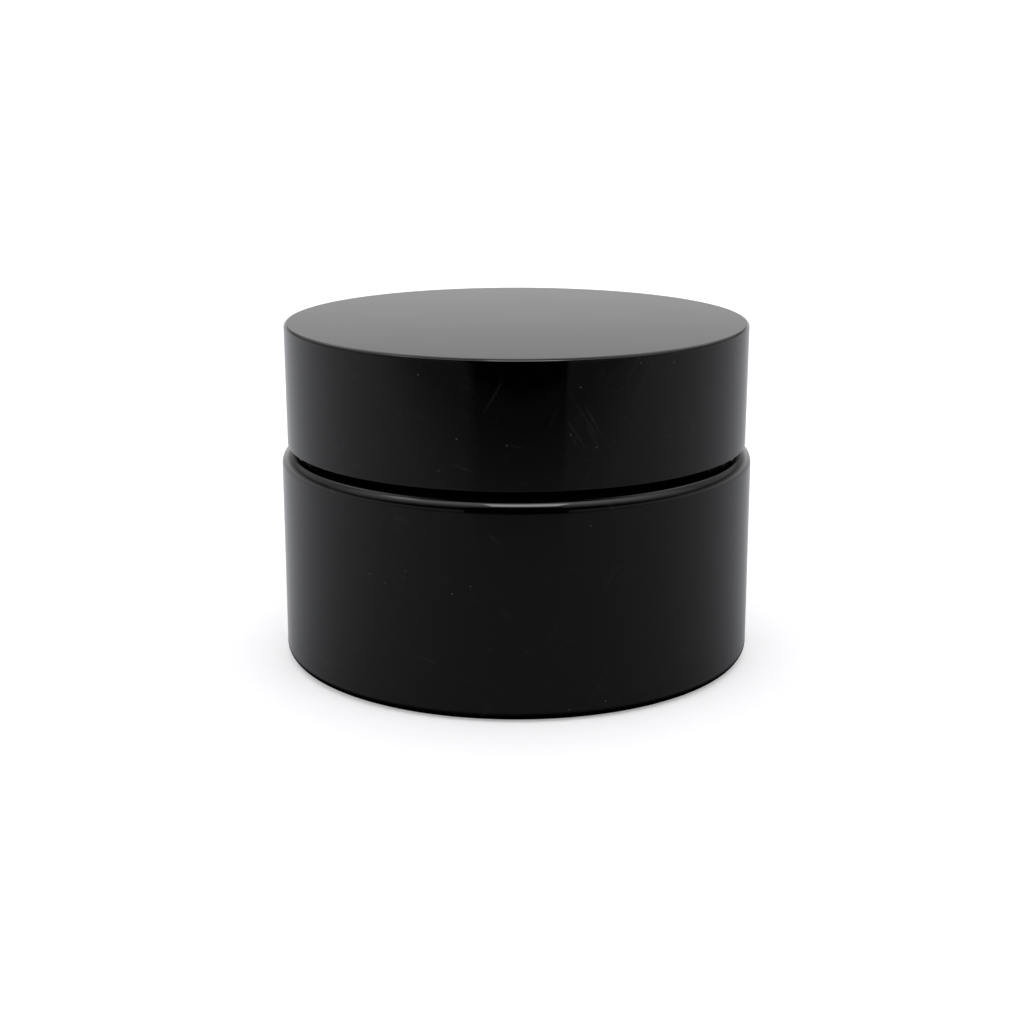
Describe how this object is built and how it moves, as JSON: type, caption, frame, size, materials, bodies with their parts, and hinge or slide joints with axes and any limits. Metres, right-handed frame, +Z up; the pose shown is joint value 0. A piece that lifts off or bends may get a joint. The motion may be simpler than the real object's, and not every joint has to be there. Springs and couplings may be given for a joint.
{
  "type": "cosmetic cream jar",
  "caption": "Low round screw-top cream jar: thick opaque glass body, sealing disc in the mouth, and a double-walled gloss lid with a foam liner.",
  "frame": {"origin": "centre of the circle that the jar stands on", "axes": "+Z up along the jar's axis; the finger tab of the sealing disc runs along X"},
  "size_m": [0.061, 0.061, 0.0438],
  "materials": {
    "black_glass": "polished opaque black glass",
    "natural_polyethylene": "natural translucent white",
    "white_foam": "fine closed-cell foam",
    "black_polypropylene": "satin moulded",
    "black_gloss_plastic": "polished black"
  },
  "bodies": {
    "jar": {"glass_jar": "black_glass"},
    "disc": {"sealing_disc": "natural_polyethylene"},
    "liner": {"lid_liner": "white_foam"},
    "lid": {"lid_inner_cap": "black_polypropylene", "lid_shell": "black_gloss_plastic"}
  },
  "joints": [
    {"name": "disc_lift", "type": "slide", "parent": "jar", "child": "disc", "axis": [0, 0, 1], "range_m": [0, 0.06]},
    {"name": "lid_rise", "type": "slide", "parent": "disc", "child": "liner", "axis": [0, 0, 1], "range_m": [0, 0.0117]},
    {"name": "lid_turn", "type": "hinge", "parent": "liner", "child": "lid", "pos_m": [0, 0, 0.035], "axis": [0, 0, 1], "range_deg": [0, 400]}
  ],
  "couplings": [
    {"joint": "lid_rise", "follows": "lid_turn", "m_per_rad": 0.0016711}
  ]
}
